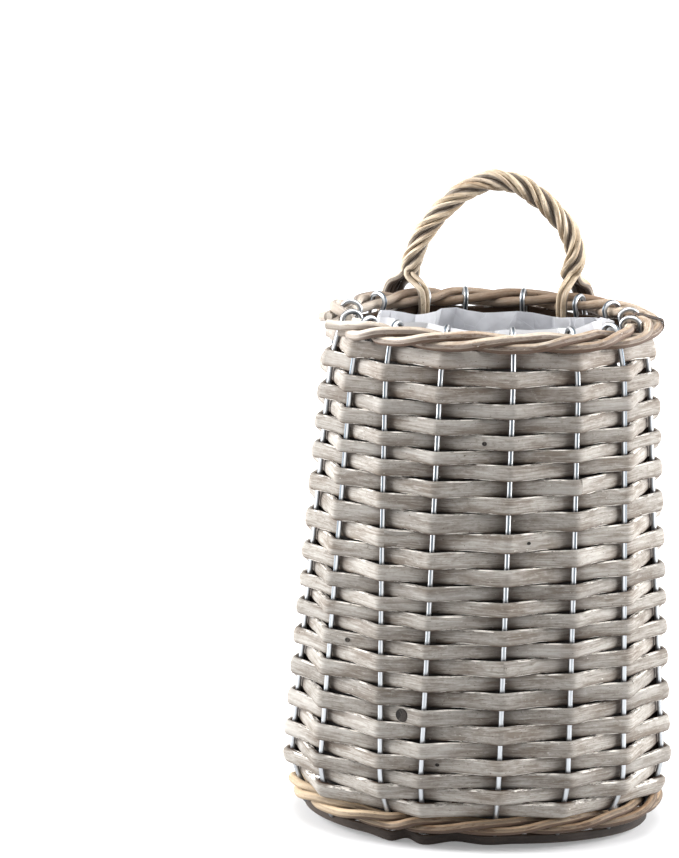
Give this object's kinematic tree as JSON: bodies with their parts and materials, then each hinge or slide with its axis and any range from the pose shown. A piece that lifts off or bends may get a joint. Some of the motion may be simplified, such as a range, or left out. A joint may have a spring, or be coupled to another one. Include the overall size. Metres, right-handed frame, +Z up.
{
  "type": "wall basket",
  "caption": "Tall oval wall basket of split willow woven round steel wires, with a twisted rim, a twisted loop handle at the back and a clear film liner.",
  "frame": {"origin": "on the surface that the basket stands on, under the middle of its outline", "axes": "+Z up the basket towards the handle, +Y towards the wall behind it, +X to the right for someone who looks at its front"},
  "size_m": [0.2086, 0.1437, 0.3436],
  "materials": {
    "split_willow": "grey-washed split willow, matt",
    "rim_willow": "grey-washed round willow rods, matt",
    "foot_willow": "tan peeled willow rods, matt",
    "handle_willow": "tan peeled willow rods, satin",
    "base_willow": "dark unpeeled willow strips, matt",
    "galvanised_wire": "bright drawn galvanised wire",
    "tie_wire": "dark annealed tie wire",
    "film": "thin clear polythene film, creased"
  },
  "bodies": {
    "root": {"weaver_row_01": "split_willow", "weaver_row_02": "split_willow", "weaver_row_03": "split_willow", "weaver_row_04": "split_willow", "weaver_row_05": "split_willow", "weaver_row_06": "split_willow", "weaver_row_07": "split_willow", "weaver_row_08": "split_willow", "weaver_row_09": "split_willow", "weaver_row_10": "split_willow", "weaver_row_11": "split_willow", "weaver_row_12": "split_willow", "weaver_row_13": "split_willow", "weaver_row_14": "split_willow", "weaver_row_15": "split_willow", "weaver_row_16": "split_willow", "weaver_row_17": "split_willow", "weaver_row_18": "split_willow", "weaver_row_19": "split_willow", "weaver_row_20": "split_willow", "weaver_row_21": "split_willow", "weaver_row_22": "split_willow", "weaver_row_23": "split_willow", "weaver_row_24": "split_willow", "weaver_row_25": "split_willow", "weaver_row_26": "split_willow", "weaver_row_27": "split_willow", "weaver_row_28": "split_willow", "weaver_row_29": "split_willow", "stake_wire_1": "galvanised_wire", "stake_wire_2": "galvanised_wire", "stake_wire_3": "galvanised_wire", "stake_wire_4": "galvanised_wire", "stake_wire_5": "galvanised_wire", "stake_wire_6": "galvanised_wire", "stake_wire_7": "galvanised_wire", "stake_wire_8": "galvanised_wire", "rim_rod_1": "rim_willow", "rim_rod_2": "rim_willow", "rim_rod_3": "rim_willow", "foot_rod_1": "foot_willow", "foot_rod_2": "foot_willow", "foot_rod_3": "foot_willow", "handle_strand_1": "handle_willow", "handle_strand_2": "handle_willow", "handle_strand_3": "handle_willow", "base_strip_1": "base_willow", "base_strip_2": "base_willow", "base_strip_3": "base_willow", "base_strip_4": "base_willow", "base_strip_5": "base_willow", "base_strip_6": "base_willow", "base_strip_7": "base_willow", "base_strip_8": "base_willow", "base_edge_strip": "base_willow", "film_liner": "film", "tie_wire": "tie_wire"}
  },
  "joints": []
}
